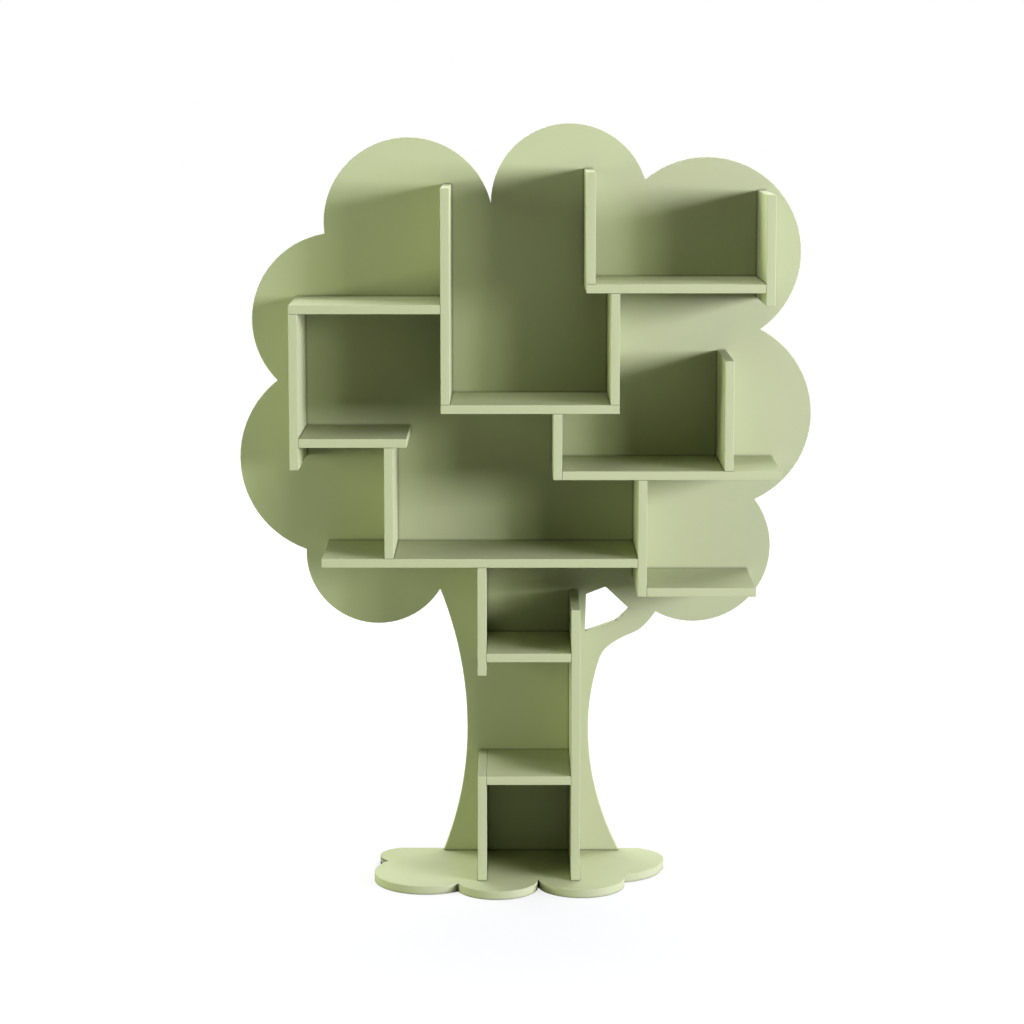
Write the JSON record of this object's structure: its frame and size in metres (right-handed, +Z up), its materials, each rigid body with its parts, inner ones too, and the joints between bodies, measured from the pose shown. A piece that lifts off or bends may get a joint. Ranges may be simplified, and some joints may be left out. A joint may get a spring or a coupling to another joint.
{
  "type": "tree shaped bookshelf",
  "caption": "Free-standing tree shaped bookshelf: a lobed back panel with trunk and branch on a scalloped base plate, with staggered shelves and uprights in the canopy and trunk.",
  "frame": {"origin": "on the floor, under the middle of the bounding box", "axes": "+X to the viewer's right seen from the front, +Y towards the rear face of the back panel, +Z up"},
  "size_m": [1.2, 0.31, 1.5681],
  "materials": {
    "paint_panel": "satin pale sage paint on fibreboard",
    "paint_base": "satin pale sage paint on fibreboard",
    "paint_boards": "satin pale sage paint on fibreboard",
    "screws": "zinc plated"
  },
  "bodies": {
    "root": {"back_panel": "paint_panel", "base_plate": "paint_base", "trunk_shelf_lower": "paint_boards", "trunk_shelf_upper": "paint_boards", "shelf_long": "paint_boards", "shelf_mid_left": "paint_boards", "shelf_low_right": "paint_boards", "shelf_mid_right": "paint_boards", "shelf_centre": "paint_boards", "shelf_upper_left": "paint_boards", "shelf_upper_right": "paint_boards", "trunk_post_lower_left": "paint_boards", "trunk_post_right": "paint_boards", "trunk_post_upper_left": "paint_boards", "upright_low_left": "paint_boards", "upright_far_left": "paint_boards", "upright_low_right": "paint_boards", "upright_centre_hanger": "paint_boards", "upright_mid_right": "paint_boards", "upright_centre_left": "paint_boards", "upright_centre_right": "paint_boards", "upright_crown": "paint_boards", "upright_upper_right": "paint_boards", "screw_trunk_shelf_lower_1": "screws", "screw_trunk_shelf_upper_1": "screws", "screw_shelf_long_1": "screws", "screw_shelf_long_2": "screws", "screw_shelf_mid_left_1": "screws", "screw_shelf_mid_left_2": "screws", "screw_shelf_low_right_1": "screws", "screw_shelf_low_right_2": "screws", "screw_shelf_mid_right_1": "screws", "screw_shelf_mid_right_2": "screws", "screw_shelf_centre_1": "screws", "screw_shelf_centre_2": "screws", "screw_shelf_upper_left_1": "screws", "screw_shelf_upper_left_2": "screws", "screw_shelf_upper_right_1": "screws", "screw_shelf_upper_right_2": "screws", "screw_trunk_post_lower_left_1": "screws", "screw_trunk_post_right_1": "screws", "screw_trunk_post_right_2": "screws", "screw_trunk_post_upper_left_1": "screws", "screw_upright_low_left_1": "screws", "screw_upright_far_left_1": "screws", "screw_upright_far_left_2": "screws", "screw_upright_low_right_1": "screws", "screw_upright_centre_hanger_1": "screws", "screw_upright_mid_right_1": "screws", "screw_upright_centre_left_1": "screws", "screw_upright_centre_left_2": "screws", "screw_upright_centre_right_1": "screws", "screw_upright_crown_1": "screws", "screw_upright_upper_right_1": "screws", "screw_base_trunk_post_lower_left_1": "screws", "screw_base_trunk_post_lower_left_2": "screws", "screw_base_trunk_post_right_1": "screws", "screw_base_trunk_post_right_2": "screws", "screw_base_back_panel_1": "screws", "screw_base_back_panel_2": "screws"}
  },
  "joints": []
}
